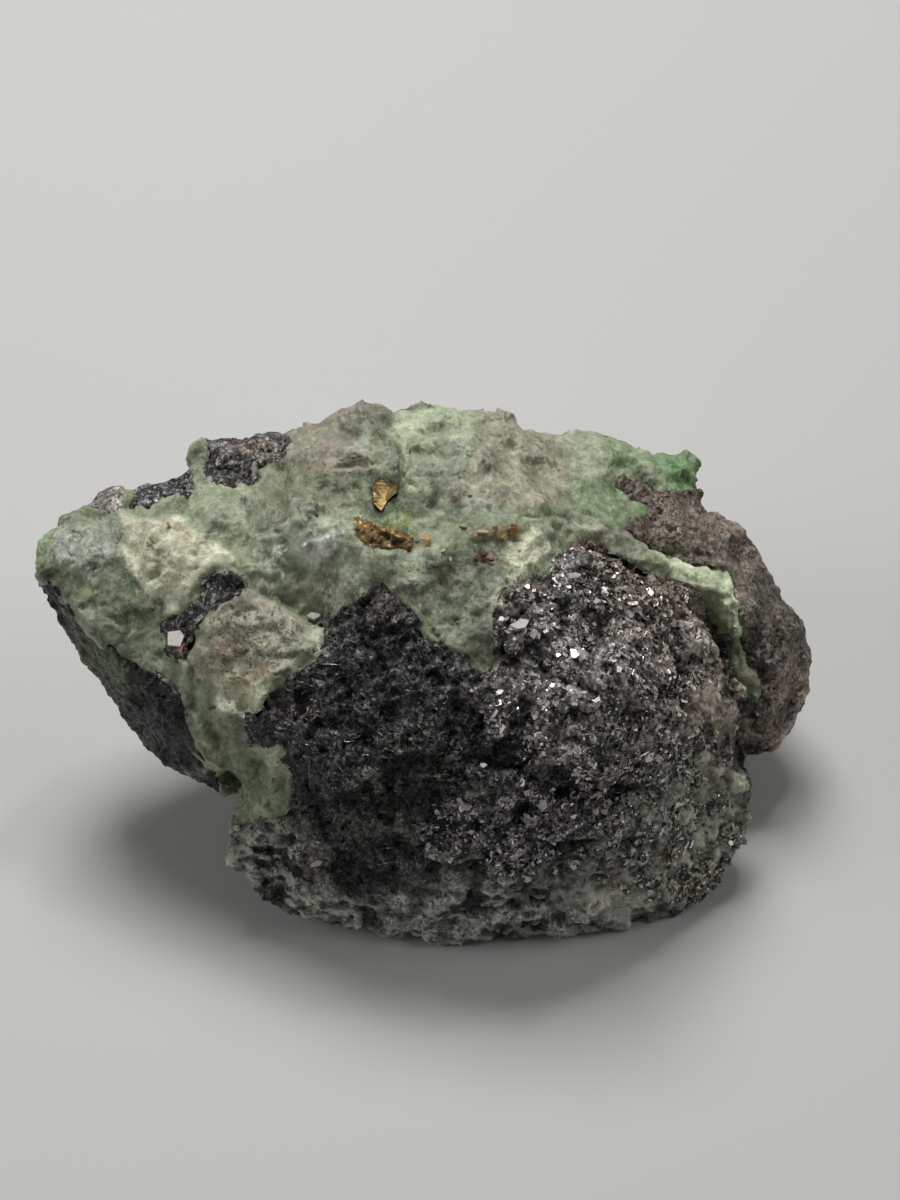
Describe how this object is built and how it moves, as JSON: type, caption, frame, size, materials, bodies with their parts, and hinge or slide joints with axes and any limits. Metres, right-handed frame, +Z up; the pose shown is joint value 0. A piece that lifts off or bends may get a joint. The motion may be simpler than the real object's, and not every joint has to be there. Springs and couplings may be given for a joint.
{
  "type": "mineral specimen",
  "caption": "Rough hand specimen of pale to mid green garnet grown together with dark, flaky graphite schist and small bronze pyrite grains, resting on a flat broken face.",
  "frame": {"origin": "middle of the footprint's bounding rectangle, at the level of the flat face that the stone rests on", "axes": "+X along the stone's length, away from the pointed green wing; +Y towards its back; +Z up. The sloping display face looks towards -Y and +Z"},
  "size_m": [0.065, 0.0418, 0.0297],
  "materials": {
    "tsavorite": "broken garnet, waxy, pale to mid green",
    "graphite_front": "flaky, sparkling dark grey",
    "graphite_right": "granular, dull brown grey",
    "graphite_flank": "dull dark crust",
    "graphite_knob_left": "flaky dark grey",
    "graphite_knob_ridge": "flaky dark grey",
    "graphite_crest": "flaky dark grey",
    "graphite_seam": "flaky dark grey",
    "pyrite_wedge": "bronze, finely striated",
    "pyrite_grain": "tarnished bronze"
  },
  "bodies": {
    "root": {"tsavorite": "tsavorite", "graphite_front": "graphite_front", "graphite_right": "graphite_right", "graphite_flank": "graphite_flank", "graphite_knob_left": "graphite_knob_left", "graphite_knob_ridge": "graphite_knob_ridge", "graphite_crest": "graphite_crest", "graphite_seam": "graphite_seam", "pyrite_wedge": "pyrite_wedge", "pyrite_grain": "pyrite_grain"}
  },
  "joints": []
}
